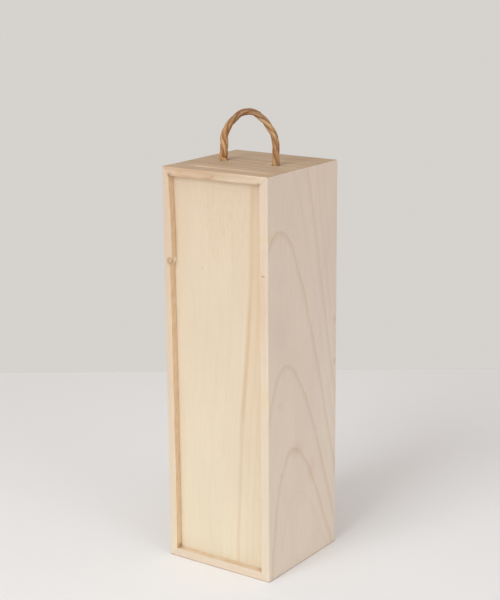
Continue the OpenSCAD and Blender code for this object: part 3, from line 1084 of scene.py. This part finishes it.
# The ledge is darker at its two ends, by the side boards
BOTTOM_SPOTS = (
    ((-45, LID_LOW.y - 2, WALL), (5, 6, 3), (0.70, 0.58, 0.46), 0.9),
    ((43, LID_LOW.y - 2, WALL), (7, 6, 3), (0.84, 0.72, 0.58), 0.9),
)
# Each growth line's coordinate and strength
BOTTOM_LINES = ((4, 0.8), (14, 0.9), (22, 0.5), (35, 0.9), (47, 0.6))


def bottom_wood(colours):
    """The bottom board, cut from the same wood as the sides."""
    base = tuple(colours.board)
    cut = against(colours.cut, base)

    def marks(tree, spot, xyz, facing, streaks):
        layers = recess_marks(tree, cut, spot, xyz, facing, 2, 1, 0.8)
        ledge = layers[0][0]
        edge = front_edge(tree, xyz, facing)
        patchy = add(tree, "ShaderNodeTexNoise",
                     {"Vector": spot, "Scale": 0.13, "Detail": 3.0, "Roughness": 0.6})
        worn = add(tree, "ShaderNodeMapRange", (patchy, 0.44, 0.60, 0.0, 1.0))
        worn = add(tree, MATH, (worn, edge), operation="MULTIPLY")
        layers += [(ledge, (0.87, 0.90, 0.92), 1.0), (edge, (0.97, 0.93, 0.87), 1.0),
                   (worn, (1.01, 1.03, 1.07), 1.0)]
        return layers + stains(tree, spot, BOTTOM_SPOTS)

    lines = ringed(stem(55, 5, 0, 0.1, 0.2), [(*line, 0.8, 1.6) for line in BOTTOM_LINES])
    return wood("Sanded pale board wood, bottom", base, axes=(1, 2, 0), lines=lines, marks=marks, seed=12.0)


BAR_SPOTS = (
    # The front edge from its left end: a dark mitre, yellow wood, and the reddish lower part with small knots
    ((-45.4, FRONT, 343.8), (3.6, 3, 2.6), (0.66, 0.50, 0.42), 0.8),
    ((-36, FRONT, 346.2), (7.5, 4, 2.4), (0.90, 0.87, 0.68), 0.8),
    ((-30, FRONT, 343.4), (22, 3, 1.9), (0.87, 0.76, 0.70), 0.9),
    ((-6, FRONT, 343.8), (11, 4, 1.8), (0.78, 0.66, 0.56), 0.9),
    ((-2, FRONT, 345.6), (3.4, 4, 1.3), (0.80, 0.68, 0.58), 0.9),
    # Painted shade in the inner corner at the bar's right end, where the shade under the bar ends
    ((HALF_W - 8.6, FRONT, 343.6), (2.4, 2, 2.2), (0.70, 0.58, 0.46), 0.9),
    # Paler wood at the right end, in front and on top
    ((HALF_W, FRONT, 347), (17, 3, 12), (1.05, 1.07, 1.10), 1.0),
    ((25, FRONT + 7, HEIGHT), (50, 13, 3), (1.11, 1.11, 1.13), 1.0, 0.6),
)
TOP_SPOTS = (
    # A dark streak and a pale one across the middle
    ((8, -3.5, HEIGHT), (26, 2.4, 3), (0.84, 0.78, 0.70), 0.7),
    ((-8, 7, HEIGHT), (30, 3.4, 3), (1.06, 1.06, 1.07), 1.0),
    # The fibres torn up beside the right hole, with their shadow
    ((RIGHT_HOLE - 11.4, -0.5, HEIGHT), (2.4, 5, 3), (0.82, 0.80, 0.76), 0.8),
    ((RIGHT_HOLE - 9.2, 2.6, HEIGHT), (3.0, 7, 3), (1.3, 1.25, 1.22), 1.0, 0.6),
)
# Each growth line's coordinate, strength and width after it
TOP_LINES = ((-40, 0.5, 2), (-22, 0.6, 2), (-11, 0.4, 1.5), (3, 0.7, 2), (17, 0.5, 2), (29, 0.6, 2),
             (44, 0.5, 2))


def top_wood(colours, part):
    """The top is a browner, streaky length of the same wood, and paler along the saw's cut, partly newly cut
    wood and partly a painted highlight on the seam.
    """
    base = tuple(colours.top)
    cut = against(colours.cut, base)
    rim = against(colours.board, base)

    def straight(tree, across, _, along):
        return add(tree, MATH, (along, 0.06, across), operation="MULTIPLY_ADD")

    def marks(tree, spot, xyz, facing, streaks):
        layers = recess_marks(tree, cut, spot, xyz, facing, 2, -1, 0.5)
        edge = front_edge(tree, xyz, facing)
        dark = add(tree, "ShaderNodeMapRange", (streaks(6.0, 90, 4.0, 0.62, 9.0), 0.42, 0.62, 0.0, 1.0))
        layers += [(dark, (0.86, 0.80, 0.73), 1.0), (edge, rim, 1.0), (edge, (0.86, 0.80, 0.71), 1.0)]
        if part == "bar":
            # The left half of the bar's front edge is redder.
            pink = add(tree, "ShaderNodeMapRange", (xyz[0], -8.0, 18.0, 1.0, 0.0))
            pink = add(tree, MATH, (pink, edge), operation="MULTIPLY")
            layers.append((pink, (0.96, 0.89, 0.85), 1.0))
            return layers + stains(tree, spot, BAR_SPOTS)
        # Paler along the saw's cut between the bar and the fixed top, clear of its ends: partly newly cut
        # wood, partly a painted highlight on the seam
        pale = add(tree, "ShaderNodeMapRange", (streaks(3.0, 24, 2.0, 0.5, 15.0), 0.36, 0.54, 0.55, 1.0))
        cut_and_seam_highlight = band(tree, xyz[1], TOP_LOW.y - 1, TOP_LOW.y + 4.8, 0.8)
        cut_and_seam_highlight = add(tree, MATH, (cut_and_seam_highlight, band(tree, xyz[0], -34, 44, 7.0)), operation="MULTIPLY")
        cut_and_seam_highlight = add(tree, MATH, (cut_and_seam_highlight, pale), operation="MULTIPLY")
        layers.append((cut_and_seam_highlight, (1.56, 1.61, 1.72), 1.0))
        return layers + stains(tree, spot, TOP_SPOTS)

    lines = ringed(straight, [(at, strength, 1, after) for at, strength, after in TOP_LINES])
    return wood(f"Sanded pale wood, {part}", base, axes=(1, 2, 0), lines=lines, marks=marks, seed=5.0,
                line=0.3, grain=1.5)


class BOTTLEBOX_OT_lid(bpy.types.Operator):
    """Build the lid panel and the bar on its top end"""

    bl_idname = "bottlebox.lid"
    bl_label = "Lid and bar"

    def execute(self, context):
        sizes, colours = context.scene.bottlebox_sizes, context.scene.bottlebox_wood
        thick = LID_HIGH.y - LID_LOW.y
        section = [(0, LID_LOW.x, 0.3), (thick, LID_LOW.x, 0.3),
                   (thick, LID_HIGH.x, 0.3), (0, LID_HIGH.x, 0.3)]
        panel = board("lid_board", section, LID_HIGH.z - LID_LOW.z,
                      lambda d, w, s: (w, LID_LOW.y + d, LID_LOW.z + s), cuts=80, mitre=0, edge=0.2)
        even_shading(panel)
        dress(panel, lid_wood(colours), "lid_wood", "lid_panel")
        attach(panel, "lid")

        trim = sizes.bar_trim / MM

        def lifted(depth, across, along):
            """The bar's front edge is cut a little narrower, and more so towards its right end."""
            if across > LID_LOW.y:
                return depth
            share = smooth(depth, WALL * 0.5, WALL)
            off_line = drift(along, (9, 0.2, (5.2, 1.4)))
            return depth - share * (trim * (0.7 + 0.3 * along / HALF_W) + off_line)

        arris = sizes.arris / MM
        grip = HEIGHT - LID_HIGH.z
        section = [(0, FRONT, arris), (WALL, FRONT, arris * 0.7), (WALL, LID_LOW.y, 0.12),
                   (grip, LID_LOW.y, 0.08), (grip, LID_HIGH.y, 0.08), (WALL, LID_HIGH.y, 0.12),
                   (WALL, BAR_HIGH.y, 0.2), (0, BAR_HIGH.y, arris * 0.5)]
        # Shut, the bar's mitred ends rest on the side boards, so it is drawn this much longer at each end
        longer = 0.4
        reach = 1 + longer / HALF_W
        bar = board("bar", section, 2 * HALF_W, lambda d, w, s: ((s - HALF_W) * reach, w, HEIGHT - d),
                    cuts=120, shift=BAR_LOW.x + HALF_W, edge=sizes.joint_edge / MM, trim=lifted)
        even_shading(bar)
        dress(bar, top_wood(colours, "bar"), "top_wood", "lid_bar")
        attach(bar, "lid")
        return {"FINISHED"}


def lid_wood(colours):
    """The lid: warm pale wood, finely streaked along its length, with one leaning growth line."""
    figure = leaning(25.0, 9.0, 165.0, 95.0)

    def marks(tree, spot, xyz, facing, streaks):
        lean = figure(tree, xyz[0], xyz[1], xyz[2])
        # Right of the growth line the wood is redder, more so higher up, and the line has a broad soft shade.
        beyond = add(tree, "ShaderNodeMapRange", (lean, -0.5, 2.5, 0.0, 1.0))
        high = add(tree, "ShaderNodeMapRange", (xyz[2], 20.0, 260.0, 0.25, 1.0))
        beyond = add(tree, MATH, (beyond, high), operation="MULTIPLY")
        broad = band(tree, lean, -2.6, 1.4, 2.0)
        middle = band(tree, xyz[2], 138.0, 245.0, 14.0)
        broad = add(tree, MATH, (broad, middle), operation="MULTIPLY")
        # Painted light lifts the bar's shadow on the top of the lid, and fine flecks and one small knot lie
        # in the top third of the lid.
        painted_light_under_bar = add(tree, "ShaderNodeMapRange", (xyz[2], INNER_TOP - 6.5, INNER_TOP, 0.0, 1.0))
        flecks = add(tree, "ShaderNodeMapRange", (streaks(0.9, 9, 2.0, 0.6, 27.0), 0.52, 0.72, 0.0, 1.0))
        there = near(tree, spot, (2, LID_LOW.y, 312), (46, 30, 60))
        flecks = add(tree, MATH, (flecks, there), operation="MULTIPLY")
        knot = near(tree, spot, (-17.6, LID_LOW.y, 266.5), (1.1, 3, 1.3))
        return [(beyond, (0.985, 0.935, 0.895), 1.0), (broad, (0.95, 0.89, 0.83), 1.0),
                (painted_light_under_bar, (1.24, 1.3, 1.34), 1.0), (flecks, (0.89, 0.81, 0.72), 0.8),
                (knot, (0.66, 0.54, 0.42), 0.6)]

    lines = ringed(figure, [(-44, 0.10, 1.5, 3), (-31, 0.12, 1.5, 3), (-19, 0.14, 1.5, 3), (-8, 0.10, 1.5, 3),
                            (0, 0.8, 3.2, 2.6), (8.5, 0.25, 1.2, 2.5), (15, 0.2, 1.2, 2.5)])
    return wood("Sanded pale lid wood", tuple(colours.lid), axes=(0, 1, 2), lines=lines,
                painted_top_shade=(0.865, 0.79, 0.775), marks=marks, seed=44.0, line=0.5, late=(0.84, 0.66, 0.52),
                grain=0.8)


class BOTTLEBOX_OT_back(bpy.types.Operator):
    """Build the back panel and the pins that hold it"""

    bl_idname = "bottlebox.back"
    bl_label = "Back panel and pins"

    def execute(self, context):
        colours = context.scene.bottlebox_wood
        low, high = BACK_LOW, BACK_HIGH
        thick = high.y - low.y
        section = [(0, low.x, 0.25), (thick, low.x, 0.2), (thick, high.x, 0.2), (0, high.x, 0.25)]
        panel = board("back_board", section, high.z - low.z, lambda d, w, s: (w, high.y - d, low.z + s),
                      cuts=40, mitre=0, edge=0.2)
        bore_for_pins(panel)
        even_shading(panel)
        lines = ringed(stem(64, 5.2, -6, 0.05, 0.2), [(2, 0.7, 1, 2), (14, 0.8, 1, 2), (25, 0.6, 1, 2),
                                                      (41, 0.9, 1, 2), (58, 0.7, 1, 2), (74, 0.6, 1, 2)])
        material = wood("Sanded pale back wood", tuple(colours.lid), axes=(0, 1, 2), lines=lines,
                        painted_top_shade=(0.90, 0.86, 0.84), seed=71.0, line=0.42)
        dress(panel, material, "lid_wood", "back_panel")
        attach(panel, "box")

        deep = PINS_HIGH.y - PINS_LOW.y
        # From the point up the shank to the head and its eased rim
        profile = [(0.05, -deep), (PIN_R, -deep + 1.6), (PIN_R, -0.75), (PIN_R + 0.15, -0.6),
                   (PIN_HEAD_R - 0.1, -0.6), (PIN_HEAD_R, -0.5), (PIN_HEAD_R, -0.14), (PIN_HEAD_R - 0.12, 0)]
        steel = pin_steel()
        pins = at_pins("panel_pins", profile, steel)
        even_shading(pins)
        dress(pins, steel, "pin_steel", "back_pins")
        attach(pins, "box")
        return {"FINISHED"}


class BOTTLEBOX_OT_rope(bpy.types.Operator):
    """Build the rope handle, its loose fibres and its knots"""

    bl_idname = "bottlebox.rope"
    bl_label = "Rope handle"

    def execute(self, context):
        settings = context.scene.bottlebox_rope
        fibre, loose = rope_fibre(settings), loose_fibre(settings)
        hairs = fibre_tree(loose)

        def flared(middle, out):
            """The strands part a little where they go into the left hole."""
            near_hole = foot_bulge(middle[2]) if middle[0] < 0 else 0.0
            flare = OUTER_FLARE if out[0] < 0 else INNER_FLARE
            return np.array((-flare * near_hole, 0.0, 0.0))

        def finished(piece, node):
            """Gives a piece of rope its fibre and loose ends, and lets it stand for its frame node."""
            piece.data.materials.append(fibre)
            piece.data.materials.append(loose)
            run_nodes(piece, hairs, length=settings.fibre_length, width=settings.fibre_width)
            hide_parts(node)

        path = evenly(hoop_path(settings), 0.6)
        rope = laid_rope("rope_handle", path, hoop_thickness(settings, path), settings.lay / MM,
                         settings.yarns, first=0.6, spread=flared)
        finished(rope, "rope_hoop")
        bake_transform(rope)

        for name, x, node, first in (("left_knot", LEFT_HOLE, "left_rope_knot", 0.2),
                                     ("right_knot", RIGHT_HOLE, "right_rope_knot", 1.9)):
            knot = laid_rope(name, knot_path(x), settings.knot_rope / MM, settings.lay / MM, settings.yarns,
                             first=first)
            finished(knot, node)
            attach(knot, "box")
            knot.name
        return {"FINISHED"}


class BOTTLEBOX_OT_stage(bpy.types.Operator):
    """Set up the camera, the floor, the backdrop and the lights"""

    bl_idname = "bottlebox.stage"
    bl_label = "Stage"

    def execute(self, context):
        stage = context.scene.bottlebox_stage
        scene = context.scene
        scene.view_settings.view_transform = "Standard"
        set_camera(scene)
        lay_floor(stage)
        hang_wall(stage)
        light_stage(scene, stage)
        return {"FINISHED"}


# Where the camera stands: degrees, and millimetres for the distance, the target and the lens
AZIMUTH = 35.0
ELEVATION = 14.548
ROLL = -0.44
DISTANCE = 1284.69
TARGET = Vector((-1.903, 0.0, 230.232))
LENS = 89.25
# How far the floor and the backdrop reach, in metres
ROOM = 6.0


def view_axes(azimuth, elevation, roll=0.0):
    """The camera's right, up and backward directions."""
    a, e, r = math.radians(azimuth), math.radians(elevation), math.radians(roll)
    back = Vector((math.sin(a) * math.cos(e), -math.cos(a) * math.cos(e), math.sin(e)))
    right = Vector((0, 0, 1)).cross(back).normalized()
    up = back.cross(right)
    return (right * math.cos(r) + up * math.sin(r), up * math.cos(r) - right * math.sin(r), back)


def set_camera(scene):
    """A long lens at a standing viewer's height."""
    right, up, back = view_axes(AZIMUTH, ELEVATION, ROLL)
    data = bpy.data.cameras.new("Camera")
    data.lens = LENS
    data.clip_start = 0.05
    camera = bpy.data.objects.new("Camera", data)
    place = Matrix((right, up, back)).transposed().to_4x4()
    place.translation = (TARGET + back * DISTANCE) * MM
    camera.matrix_world = place
    scene.collection.objects.link(camera)
    scene.camera = camera


def lay_floor(stage):
    """A broad floor of matt paint, which takes a soft shadow and hardly shines."""
    floor = new_piece("floor", [(-ROOM, -ROOM, 0), (ROOM, -ROOM, 0), (ROOM, ROOM, 0), (-ROOM, ROOM, 0)],
                      [(0, 1, 2, 3)], outward=False)
    material, _, shader = new_material("Matt painted floor")
    shader.inputs["Base Color"].default_value = (*stage.floor, 1)
    shader.inputs["Roughness"].default_value = 0.9
    shader.inputs["Specular IOR Level"].default_value = 0.2
    floor.data.materials.append(material)


def hang_wall(stage):
    """A backdrop square to the view, seen by the camera from its front only, which leaves the light alone."""
    right, up, back = view_axes(AZIMUTH, 0.0)
    foot = -back * stage.wall_distance
    left_foot, right_foot = foot - right * ROOM, foot + right * ROOM
    corners = [left_foot, right_foot, right_foot + up * ROOM, left_foot + up * ROOM]
    wall = new_piece("backdrop", corners, [(0, 1, 2, 3)], outward=False)
    material = bpy.data.materials.new("Plain backdrop")
    material.use_nodes = True
    tree = material.node_tree
    tree.nodes.clear()
    behind = add(tree, "ShaderNodeNewGeometry")
    paint = add(tree, "ShaderNodeEmission", {"Color": (*stage.wall, 1), "Strength": 1.0})
    clear = add(tree, "ShaderNodeBsdfTransparent")
    both = add(tree, "ShaderNodeMixShader", {0: behind.outputs["Backfacing"], 1: paint, 2: clear})
    add(tree, "ShaderNodeOutputMaterial", {"Surface": both})
    wall.data.materials.append(material)
    wall.visible_diffuse = wall.visible_glossy = False
    wall.visible_transmission = wall.visible_shadow = False


def light_stage(scene, stage):
    """Even light from all sides, a soft key in front, a cool light from the right and one from above."""
    world = bpy.data.worlds.new("Studio")
    world.use_nodes = True
    tree = world.node_tree
    tree.nodes.clear()
    path = add(tree, "ShaderNodeLightPath")
    even = add(tree, "ShaderNodeBackground", {"Color": (1.0, 0.955, 0.94, 1), "Strength": stage.fill})
    seen = add(tree, "ShaderNodeBackground", {"Color": (*stage.wall, 1), "Strength": 1.0})
    both = add(tree, "ShaderNodeMixShader", {0: path.outputs["Is Camera Ray"], 1: even, 2: seen})
    add(tree, "ShaderNodeOutputWorld", {"Surface": both})
    scene.world = world

    middle = Vector((0, 0, 0.17))
    # Azimuth and elevation in degrees, distance and width in metres, watts, colour
    lamps = {"Key": (-3, 37, 2.6, 1.4, stage.key, (0.84, 0.94, 1.0)),
             "Side light": (75, 22, 2.6, 1.4, stage.side, (0.74, 0.87, 1.0)),
             "Top light": (15, 70, 1.6, 1.0, stage.top, (1.0, 1.0, 1.0))}
    for name, (azimuth, elevation, distance, width, watts, tint) in lamps.items():
        light = bpy.data.lights.new(name, "AREA")
        light.shape = "DISK"
        light.size = width
        light.energy = watts
        light.color = tint
        lamp = bpy.data.objects.new(name, light)
        back = view_axes(azimuth, elevation)[2]
        lamp.location = middle + back * distance
        lamp.rotation_euler = back.to_track_quat("Z", "Y").to_euler()
        scene.collection.objects.link(lamp)


# ---------------------------------------------------------------- sidebar and registration


STEPS = (BOTTLEBOX_OT_stage, BOTTLEBOX_OT_rope, BOTTLEBOX_OT_side_boards, BOTTLEBOX_OT_end_boards,
         BOTTLEBOX_OT_lid, BOTTLEBOX_OT_back)


class VIEW3D_PT_bottlebox(bpy.types.Panel):
    """Lists the steps that build the box"""

    bl_label = "Bottle Box"
    bl_idname = "VIEW3D_PT_bottlebox"
    bl_space_type = "VIEW_3D"
    bl_region_type = "UI"
    bl_category = "Bottle Box"

    def draw(self, context):
        for group in GROUPS:
            box = self.layout.box()
            box.label(text=group.removeprefix("bottlebox_").capitalize())
            settings = getattr(context.scene, group)
            for name in settings.bl_rna.properties.keys():
                if name not in ("rna_type", "name"):
                    box.prop(settings, name)
        for step in STEPS:
            self.layout.operator(step.bl_idname)


GROUPS = {"bottlebox_sizes": BottleBoxSizes, "bottlebox_rope": BottleBoxRope, "bottlebox_wood": BottleBoxWood,
          "bottlebox_stage": BottleBoxStage}
CLASSES = (*GROUPS.values(), *STEPS, VIEW3D_PT_bottlebox)


def register():
    for cls in CLASSES:
        bpy.utils.register_class(cls)
    for name, group in GROUPS.items():
        setattr(bpy.types.Scene, name, bpy.props.PointerProperty(type=group))


def unregister():
    for name in GROUPS:
        delattr(bpy.types.Scene, name)
    for cls in reversed(CLASSES):
        bpy.utils.unregister_class(cls)


def main():
    register()
    bpy.ops.bottlebox.stage()
    bpy.ops.bottlebox.rope()
    bpy.ops.bottlebox.side_boards()
    bpy.ops.bottlebox.end_boards()
    bpy.ops.bottlebox.lid()
    bpy.ops.bottlebox.back()


if __name__ == "__main__":
    main()
